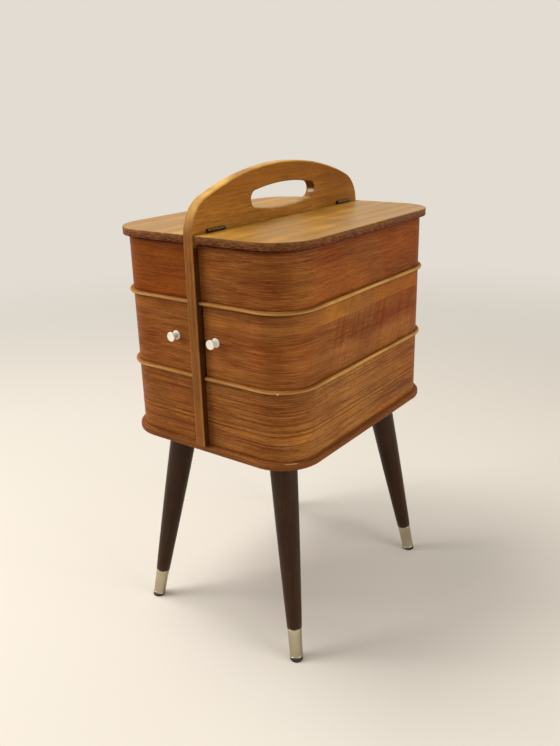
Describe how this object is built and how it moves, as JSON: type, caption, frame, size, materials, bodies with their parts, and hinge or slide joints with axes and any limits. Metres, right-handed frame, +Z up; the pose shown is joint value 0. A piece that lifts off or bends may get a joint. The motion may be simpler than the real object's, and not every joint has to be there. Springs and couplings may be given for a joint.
{
  "type": "sewing table",
  "caption": "Free-standing sewing box on splayed tapered legs, with an arched carrying panel, hinged lids and tiered trays that swing out.",
  "frame": {"origin": "on the floor, under the middle of the box", "axes": "+X to the right across the two halves, +Y to the rear along the centre panel, +Z up"},
  "size_m": [0.298, 0.3827, 0.6452],
  "materials": {
    "teak_walls": "satin lacquered veneer",
    "teak_lids": "satin lacquered veneer",
    "teak_panel": "satin lacquered veneer",
    "teak_base": "satin lacquered veneer",
    "tray_floors": "satin lacquered plywood",
    "beech_blocks": "plain",
    "stained_legs": "satin dark stain",
    "ferrules": "pale plated",
    "glides": "matt",
    "knobs": "gloss",
    "dark_hinges": "dark bronzed",
    "zinc_steel": "zinc plated"
  },
  "bodies": {
    "table": {"base_board": "teak_base", "base_screws": "zinc_steel", "bottom_box_wall_left": "teak_walls", "bottom_box_wall_right": "teak_walls", "bottom_corner_block_left": "beech_blocks", "bottom_corner_block_right": "beech_blocks", "centre_panel": "teak_panel", "ferrule_front_left": "ferrules", "ferrule_front_right": "ferrules", "ferrule_rear_left": "ferrules", "ferrule_rear_right": "ferrules", "glide_front_left": "glides", "glide_front_right": "glides", "glide_rear_left": "glides", "glide_rear_right": "glides", "hinge_panel_leaves_left": "dark_hinges", "hinge_panel_leaves_right": "dark_hinges", "hinge_panel_screws_left": "zinc_steel", "hinge_panel_screws_right": "zinc_steel", "hinge_pins_left": "dark_hinges", "hinge_pins_right": "dark_hinges", "leg_bolts": "zinc_steel", "leg_front_left": "stained_legs", "leg_front_right": "stained_legs", "leg_plate_screws": "zinc_steel", "leg_plates": "zinc_steel", "leg_rear_left": "stained_legs", "leg_rear_right": "stained_legs", "pivot_rod_left": "zinc_steel", "pivot_rod_right": "zinc_steel", "pivot_washer_left": "zinc_steel", "pivot_washer_right": "zinc_steel", "top_corner_block_left": "beech_blocks", "top_corner_block_right": "beech_blocks", "top_tray_floor_left": "tray_floors", "top_tray_floor_right": "tray_floors", "top_tray_inner_board_left": "beech_blocks", "top_tray_inner_board_right": "beech_blocks", "top_tray_wall_left": "teak_walls", "top_tray_wall_right": "teak_walls", "tray_screws": "zinc_steel"},
    "lid_right": {"hinge_lid_leaves_right": "dark_hinges", "hinge_lid_screws_right": "zinc_steel", "lid_right": "teak_lids"},
    "lid_left": {"hinge_lid_leaves_left": "dark_hinges", "hinge_lid_screws_left": "zinc_steel", "lid_left": "teak_lids"},
    "tray_right": {"knob_right": "knobs", "knob_screw_right": "zinc_steel", "middle_corner_block_right": "beech_blocks", "middle_tray_floor_right": "tray_floors", "middle_tray_inner_board_right": "beech_blocks", "middle_tray_wall_right": "teak_walls"},
    "tray_left": {"knob_left": "knobs", "knob_screw_left": "zinc_steel", "middle_corner_block_left": "beech_blocks", "middle_tray_floor_left": "tray_floors", "middle_tray_inner_board_left": "beech_blocks", "middle_tray_wall_left": "teak_walls"}
  },
  "joints": [
    {"name": "lid_right_hinge", "type": "hinge", "parent": "table", "child": "lid_right", "pos_m": [0.0096, 0, 0.575], "axis": [0, -1, 0], "range_deg": [0, 94]},
    {"name": "tray_right_swing", "type": "hinge", "parent": "table", "child": "tray_right", "pos_m": [0.10103, 0.16499, 0.39], "axis": [0, 0, 1], "range_deg": [0, 100]},
    {"name": "lid_left_hinge", "type": "hinge", "parent": "table", "child": "lid_left", "pos_m": [-0.0096, 0, 0.575], "axis": [0, 1, 0], "range_deg": [0, 94]},
    {"name": "tray_left_swing", "type": "hinge", "parent": "table", "child": "tray_left", "pos_m": [-0.10103, 0.16499, 0.39], "axis": [0, 0, -1], "range_deg": [0, 100]}
  ]
}
